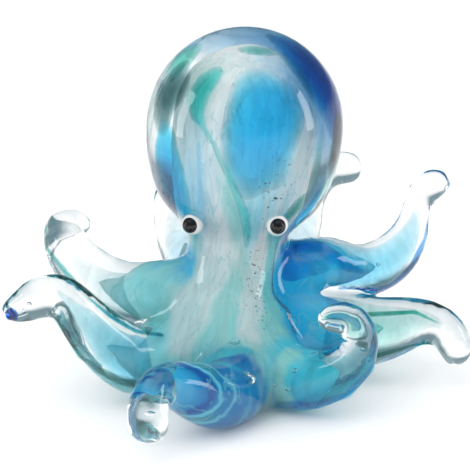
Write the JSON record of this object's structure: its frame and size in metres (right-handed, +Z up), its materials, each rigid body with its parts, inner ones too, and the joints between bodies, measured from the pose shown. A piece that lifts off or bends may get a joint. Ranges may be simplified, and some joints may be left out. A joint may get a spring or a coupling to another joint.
{
  "type": "octopus figurine",
  "caption": "Solid art-glass octopus figurine: round head leaning back over a flared skirt, dot eyes, and curling tapered arms, clear glass over blue, teal and white.",
  "frame": {"origin": "where the mantle's leaning axis meets the ground foot, on the surface that it stands on", "axes": "+Z up from the surface, -Y the way the face looks, +X to the right of a viewer in front"},
  "size_m": [0.1165, 0.1123, 0.0902],
  "materials": {
    "clear_glass": "fire-polished clear",
    "opal_glass": "white opal, softly streaked",
    "sky_blue_glass": "transparent turquoise blue",
    "deep_blue_glass": "transparent cobalt blue",
    "teal_glass": "transparent sea green",
    "eye_white_glass": "opaque white, fire-polished",
    "black_glass": "opaque black, fire-polished"
  },
  "bodies": {
    "root": {"mantle_casing": "clear_glass", "mantle_core": "opal_glass", "brow_spot": "sky_blue_glass", "crest_trail": "teal_glass", "back_veil": "deep_blue_glass", "side_veil": "teal_glass", "left_eye_white": "eye_white_glass", "left_eye_pupil": "black_glass", "right_eye_white": "eye_white_glass", "right_eye_pupil": "black_glass", "right_arm_casing": "clear_glass", "right_arm_cane": "teal_glass", "left_arm_casing": "clear_glass", "left_arm_cane": "teal_glass", "front_arm_casing": "clear_glass", "front_arm_cane": "deep_blue_glass", "front_left_arm_casing": "clear_glass", "front_left_arm_cane": "sky_blue_glass", "front_right_arm_casing": "clear_glass", "front_right_arm_cane": "deep_blue_glass", "back_right_arm_casing": "clear_glass", "back_right_arm_cane": "sky_blue_glass", "rear_left_arm_casing": "clear_glass", "rear_left_arm_cane": "sky_blue_glass", "rear_right_arm_casing": "clear_glass", "rear_right_arm_cane": "sky_blue_glass"}
  },
  "joints": []
}
